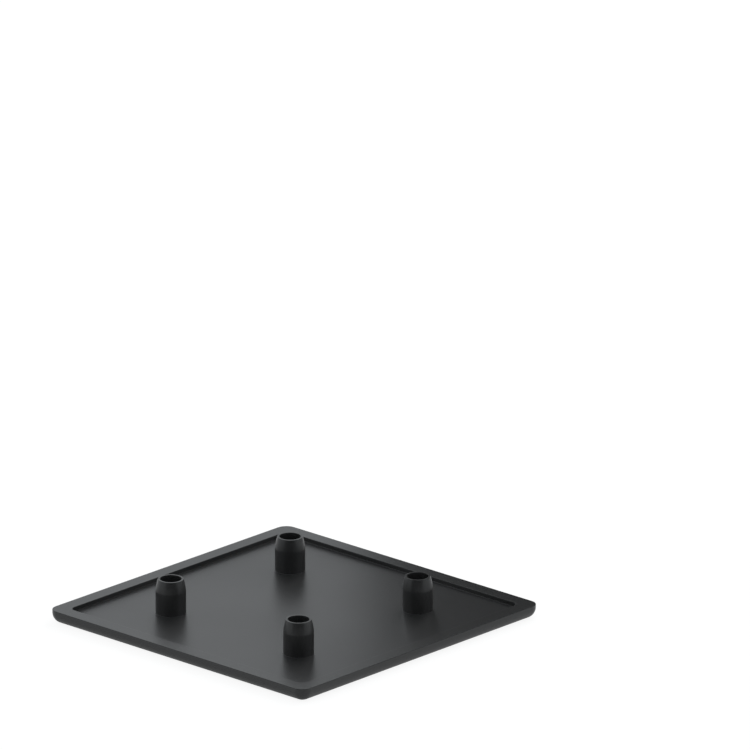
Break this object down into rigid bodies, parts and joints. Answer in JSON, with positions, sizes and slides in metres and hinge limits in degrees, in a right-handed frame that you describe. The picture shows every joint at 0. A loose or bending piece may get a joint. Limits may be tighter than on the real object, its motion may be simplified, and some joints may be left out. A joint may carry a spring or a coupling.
{
  "type": "profile end cap",
  "caption": "Square moulded end cap with a rolled outer edge, a raised rim, a shallow recess and hollow tapered pegs that press into a profile's core bores.",
  "frame": {"origin": "centre of the flat outer face, which is the cap's lowest face as it lies", "axes": "+Z out of the rim along the pegs, X and Y along the plate's sides"},
  "size_m": [0.1, 0.1, 0.0129],
  "materials": {
    "black_plastic": "fine-grained matte black moulded plastic"
  },
  "bodies": {
    "root": {"end_cap": "black_plastic"}
  },
  "joints": []
}
